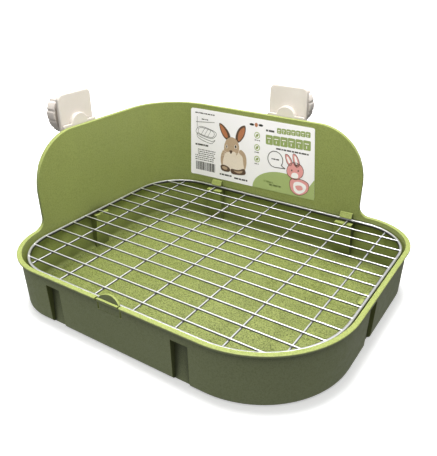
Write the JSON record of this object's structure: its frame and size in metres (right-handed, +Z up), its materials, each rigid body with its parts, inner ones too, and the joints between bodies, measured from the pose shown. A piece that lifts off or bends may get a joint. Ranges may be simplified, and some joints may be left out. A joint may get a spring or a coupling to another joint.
{
  "type": "rabbit litter tray with wire grid",
  "caption": "Shallow plastic tray with tall back and left walls, a removable wire grid held by a spring latch, and clamps with fluted knobs that hang it on cage wires.",
  "frame": {"origin": "centre of the tray's flat base, on the floor it stands on", "axes": "+X along the tray's length with the tall left wall at -X, +Y towards the tall back wall, +Z up"},
  "size_m": [0.3927, 0.3287, 0.1919],
  "materials": {
    "tray_plastic": "satin",
    "label_film": "matt",
    "wire_steel": "bright zinc",
    "clamp_plastic": "satin"
  },
  "bodies": {
    "tray": {"tray_body": "tray_plastic", "wall_label": "label_film"},
    "latch": {"front_latch": "tray_plastic"},
    "grid": {"grid_frame_wire": "wire_steel", "long_wire_01": "wire_steel", "long_wire_02": "wire_steel", "long_wire_03": "wire_steel", "long_wire_04": "wire_steel", "long_wire_05": "wire_steel", "long_wire_06": "wire_steel", "long_wire_07": "wire_steel", "long_wire_08": "wire_steel", "long_wire_09": "wire_steel", "long_wire_10": "wire_steel", "long_wire_11": "wire_steel", "long_wire_12": "wire_steel", "long_wire_13": "wire_steel", "cross_wire_01": "wire_steel", "cross_wire_02": "wire_steel", "cross_wire_03": "wire_steel", "cross_wire_04": "wire_steel", "cross_wire_05": "wire_steel", "cross_wire_06": "wire_steel", "cross_wire_07": "wire_steel"},
    "left_clamp": {"left_clamp_plate": "clamp_plastic"},
    "left_washer": {"left_clamp_washer": "clamp_plastic"},
    "left_knob": {"left_clamp_knob": "clamp_plastic"},
    "back_clamp": {"back_clamp_plate": "clamp_plastic"},
    "back_washer": {"back_clamp_washer": "clamp_plastic"},
    "back_knob": {"back_clamp_knob": "clamp_plastic"}
  },
  "joints": [
    {"name": "latch_flex", "type": "hinge", "parent": "tray", "child": "latch", "pos_m": [-0.0173, -0.14355, 0.0443], "axis": [1, 0, 0], "range_deg": [0, 15], "stiffness_Nm_per_rad": 0.2},
    {"name": "grid_tilt", "type": "hinge", "parent": "tray", "child": "grid", "pos_m": [0, 0.1392, 0.05], "axis": [-1, 0, 0], "range_deg": [0, 25]},
    {"name": "left_clamp_lift", "type": "slide", "parent": "tray", "child": "left_clamp", "axis": [0, 0, 1], "range_m": [0, 0.02]},
    {"name": "left_washer_slide", "type": "slide", "parent": "left_clamp", "child": "left_washer", "axis": [-1, 0, 0], "range_m": [0, 0.009]},
    {"name": "left_knob_turn", "type": "hinge", "parent": "left_washer", "child": "left_knob", "pos_m": [-0.19675, 0, 0.167], "axis": [-1, 0, 0], "range_deg": [0, 1080]},
    {"name": "back_clamp_lift", "type": "slide", "parent": "tray", "child": "back_clamp", "axis": [0, 0, 1], "range_m": [0, 0.02]},
    {"name": "back_washer_slide", "type": "slide", "parent": "back_clamp", "child": "back_washer", "axis": [0, 1, 0], "range_m": [0, 0.009]},
    {"name": "back_knob_turn", "type": "hinge", "parent": "back_washer", "child": "back_knob", "pos_m": [0, 0.16475, 0.167], "axis": [0, 1, 0], "range_deg": [0, 1080]}
  ],
  "couplings": [
    {"joint": "left_washer_slide", "follows": "left_knob_turn", "m_per_rad": 0.00047746},
    {"joint": "back_washer_slide", "follows": "back_knob_turn", "m_per_rad": 0.00047746}
  ]
}
